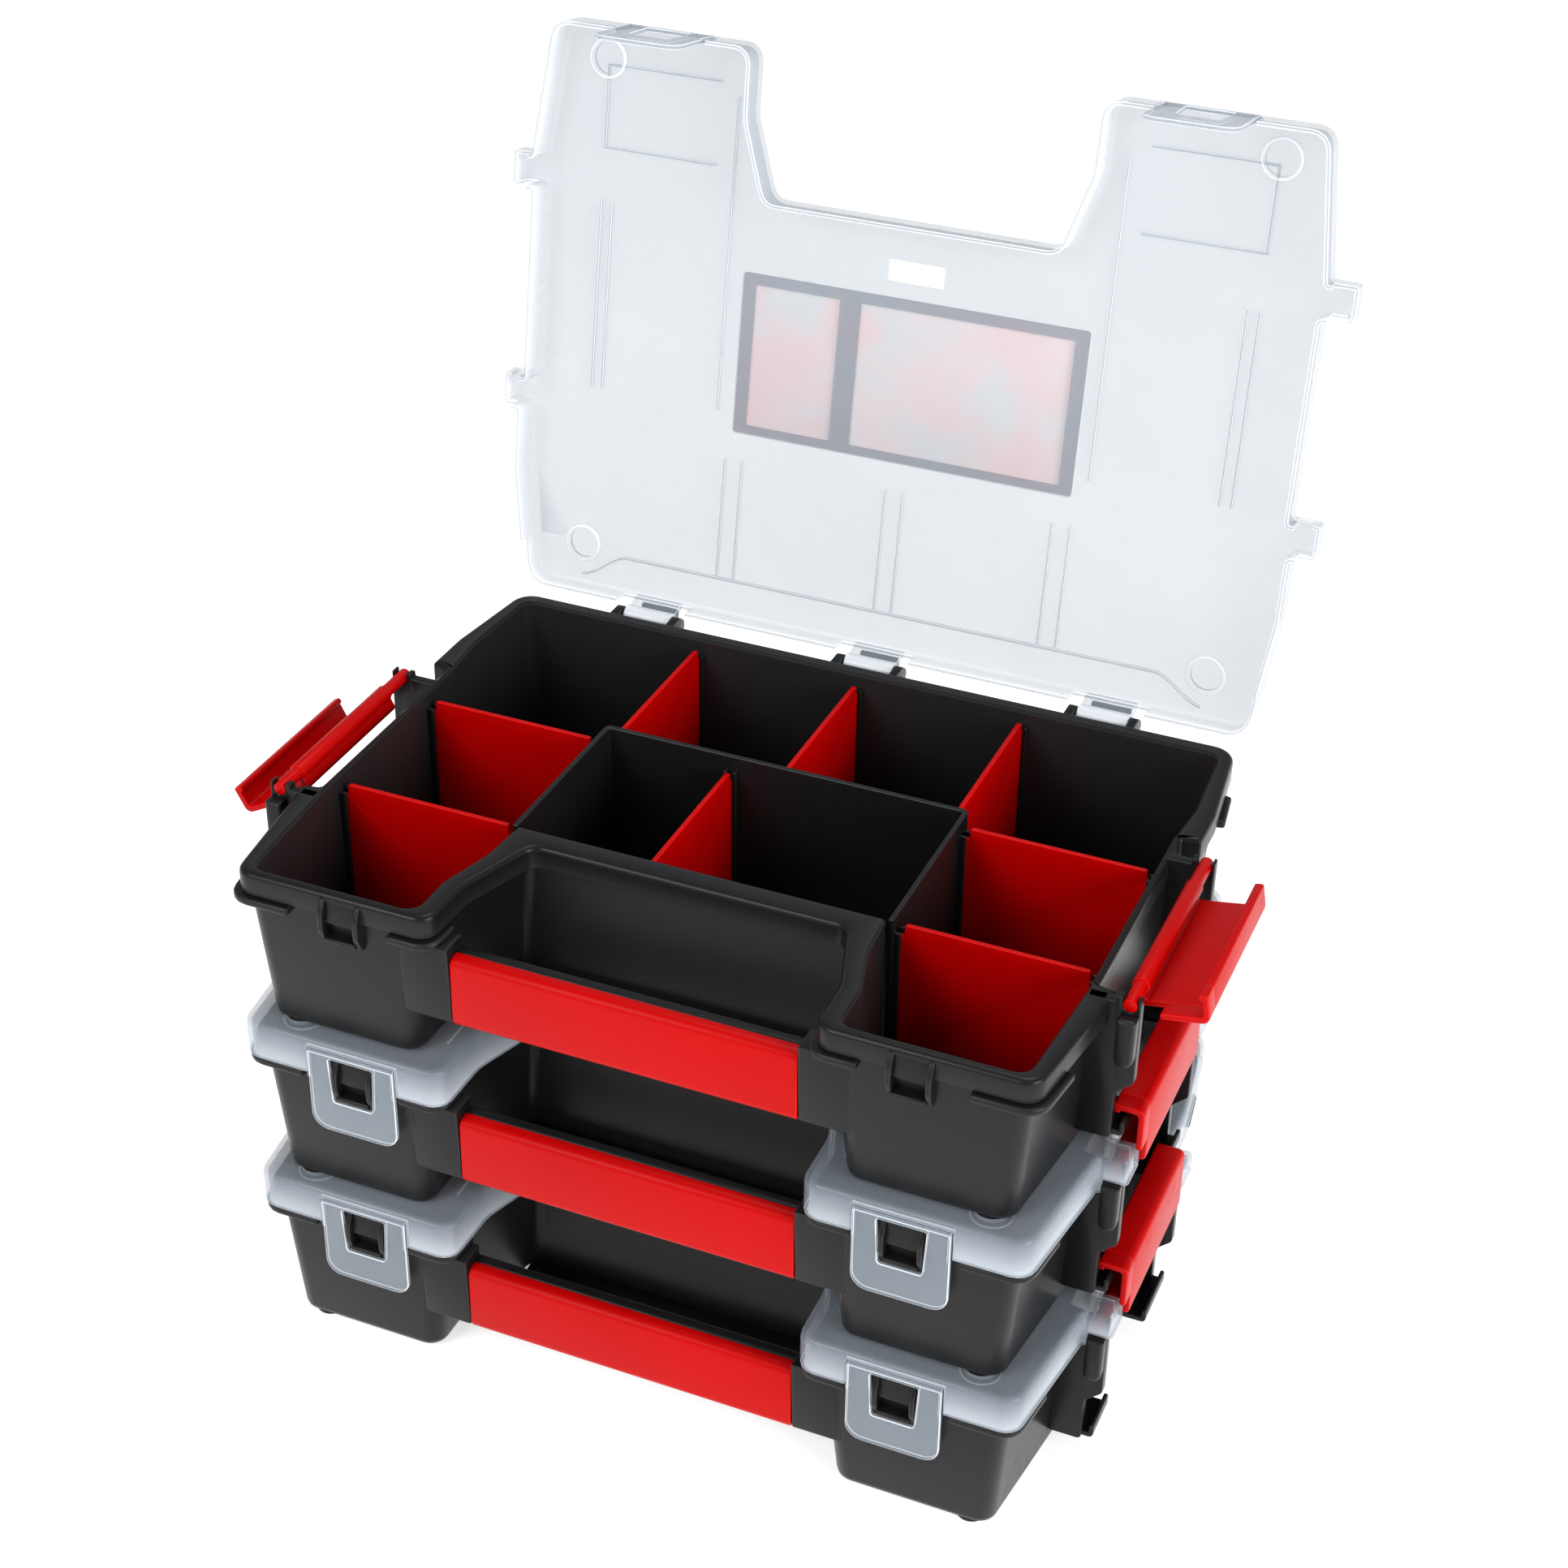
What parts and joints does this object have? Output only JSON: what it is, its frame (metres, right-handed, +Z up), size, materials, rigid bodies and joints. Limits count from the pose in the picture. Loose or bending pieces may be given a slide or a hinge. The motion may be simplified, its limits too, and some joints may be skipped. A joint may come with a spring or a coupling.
{
  "type": "parts organizer",
  "caption": "Latched stack of small-parts cases with clear hinged lids, swing side latches, front clasps, lift-out dividers and carry grips.",
  "frame": {"origin": "on the surface the stack stands on, under the middle of its overall box with the top lid open", "axes": "+Z up, +X to the right seen from the handle side, +Y to the back where the lids hinge"},
  "size_m": [0.3276, 0.2482, 0.3844],
  "materials": {
    "tray": "fine-textured charcoal black moulded plastic",
    "divider": "bright red satin moulded plastic",
    "lid": "translucent frosted moulded plastic",
    "red": "bright red satin moulded plastic",
    "card": "plain pinkish grey card"
  },
  "bodies": {
    "root": {"bottom_tray": "tray", "bottom_grip": "red", "bottom_lid": "lid", "bottom_label_card": "card", "bottom_divider_rear_left": "divider", "bottom_divider_rear_middle": "divider", "bottom_divider_rear_right": "divider", "bottom_divider_left_rear": "divider", "bottom_divider_left_front": "divider", "bottom_divider_right_rear": "divider", "bottom_divider_right_front": "divider", "bottom_divider_centre": "divider", "middle_tray": "tray", "middle_grip": "red", "middle_lid": "lid", "middle_label_card": "card", "middle_divider_rear_left": "divider", "middle_divider_rear_middle": "divider", "middle_divider_rear_right": "divider", "middle_divider_left_rear": "divider", "middle_divider_left_front": "divider", "middle_divider_right_rear": "divider", "middle_divider_right_front": "divider", "middle_divider_centre": "divider", "top_tray": "tray", "top_grip": "red"},
    "top_lid": {"top_lid": "lid", "top_label_card": "card"},
    "bottom_clasp_left": {"bottom_clasp_left": "lid"},
    "bottom_clasp_right": {"bottom_clasp_right": "lid"},
    "middle_clasp_left": {"middle_clasp_left": "lid"},
    "middle_clasp_right": {"middle_clasp_right": "lid"},
    "top_clasp_left": {"top_clasp_left": "lid"},
    "top_clasp_right": {"top_clasp_right": "lid"},
    "bottom_latch_left": {"bottom_latch_left": "red"},
    "bottom_latch_right": {"bottom_latch_right": "red"},
    "middle_latch_left": {"middle_latch_left": "red"},
    "middle_latch_right": {"middle_latch_right": "red"},
    "top_latch_left": {"top_latch_left": "red"},
    "top_latch_right": {"top_latch_right": "red"},
    "top_divider_rear_left": {"top_divider_rear_left": "divider"},
    "top_divider_rear_middle": {"top_divider_rear_middle": "divider"},
    "top_divider_rear_right": {"top_divider_rear_right": "divider"},
    "top_divider_left_rear": {"top_divider_left_rear": "divider"},
    "top_divider_left_front": {"top_divider_left_front": "divider"},
    "top_divider_right_rear": {"top_divider_right_rear": "divider"},
    "top_divider_right_front": {"top_divider_right_front": "divider"},
    "top_divider_centre": {"top_divider_centre": "divider"}
  },
  "joints": [
    {"name": "top_lid_hinge", "type": "hinge", "parent": "root", "child": "top_lid", "pos_m": [0, 0.08127, 0.178], "axis": [-1, 0, 0], "range_deg": [-99.5, 0]},
    {"name": "bottom_clasp_left_flex", "type": "hinge", "parent": "root", "child": "bottom_clasp_left", "pos_m": [0, -0.12293, 0.0589], "axis": [-1, 0, 0], "range_deg": [0, 20]},
    {"name": "bottom_clasp_right_flex", "type": "hinge", "parent": "root", "child": "bottom_clasp_right", "pos_m": [0, -0.12293, 0.0589], "axis": [-1, 0, 0], "range_deg": [0, 20]},
    {"name": "middle_clasp_left_flex", "type": "hinge", "parent": "root", "child": "middle_clasp_left", "pos_m": [0, -0.12293, 0.1209], "axis": [-1, 0, 0], "range_deg": [0, 20]},
    {"name": "middle_clasp_right_flex", "type": "hinge", "parent": "root", "child": "middle_clasp_right", "pos_m": [0, -0.12293, 0.1209], "axis": [-1, 0, 0], "range_deg": [0, 20]},
    {"name": "top_clasp_left_flex", "type": "hinge", "parent": "top_lid", "child": "top_clasp_left", "pos_m": [0, 0.11981, 0.37859], "axis": [-1, 0, 0], "range_deg": [0, 20]},
    {"name": "top_clasp_right_flex", "type": "hinge", "parent": "top_lid", "child": "top_clasp_right", "pos_m": [0, 0.11981, 0.37859], "axis": [-1, 0, 0], "range_deg": [0, 20]},
    {"name": "bottom_latch_left_swing", "type": "hinge", "parent": "root", "child": "bottom_latch_left", "pos_m": [-0.142, 0.06877, 0.057], "axis": [0, -1, 0], "range_deg": [0, 80]},
    {"name": "bottom_latch_right_swing", "type": "hinge", "parent": "root", "child": "bottom_latch_right", "pos_m": [0.142, 0.06877, 0.057], "axis": [0, 1, 0], "range_deg": [0, 80]},
    {"name": "middle_latch_left_swing", "type": "hinge", "parent": "root", "child": "middle_latch_left", "pos_m": [-0.142, 0.06877, 0.119], "axis": [0, -1, 0], "range_deg": [0, 80]},
    {"name": "middle_latch_right_swing", "type": "hinge", "parent": "root", "child": "middle_latch_right", "pos_m": [0.142, 0.06877, 0.119], "axis": [0, 1, 0], "range_deg": [0, 80]},
    {"name": "top_latch_left_swing", "type": "hinge", "parent": "root", "child": "top_latch_left", "pos_m": [-0.142, 0.06877, 0.181], "axis": [0, -1, 0], "range_deg": [-118, 0]},
    {"name": "top_latch_right_swing", "type": "hinge", "parent": "root", "child": "top_latch_right", "pos_m": [0.142, 0.06877, 0.181], "axis": [0, 1, 0], "range_deg": [-80, 0]},
    {"name": "top_divider_rear_left_lift", "type": "slide", "parent": "root", "child": "top_divider_rear_left", "axis": [0, 0, 1], "range_m": [0, 0.06]},
    {"name": "top_divider_rear_middle_lift", "type": "slide", "parent": "root", "child": "top_divider_rear_middle", "axis": [0, 0, 1], "range_m": [0, 0.06]},
    {"name": "top_divider_rear_right_lift", "type": "slide", "parent": "root", "child": "top_divider_rear_right", "axis": [0, 0, 1], "range_m": [0, 0.06]},
    {"name": "top_divider_left_rear_lift", "type": "slide", "parent": "root", "child": "top_divider_left_rear", "axis": [0, 0, 1], "range_m": [0, 0.06]},
    {"name": "top_divider_left_front_lift", "type": "slide", "parent": "root", "child": "top_divider_left_front", "axis": [0, 0, 1], "range_m": [0, 0.06]},
    {"name": "top_divider_right_rear_lift", "type": "slide", "parent": "root", "child": "top_divider_right_rear", "axis": [0, 0, 1], "range_m": [0, 0.06]},
    {"name": "top_divider_right_front_lift", "type": "slide", "parent": "root", "child": "top_divider_right_front", "axis": [0, 0, 1], "range_m": [0, 0.06]},
    {"name": "top_divider_centre_lift", "type": "slide", "parent": "root", "child": "top_divider_centre", "axis": [0, 0, 1], "range_m": [0, 0.06]}
  ]
}
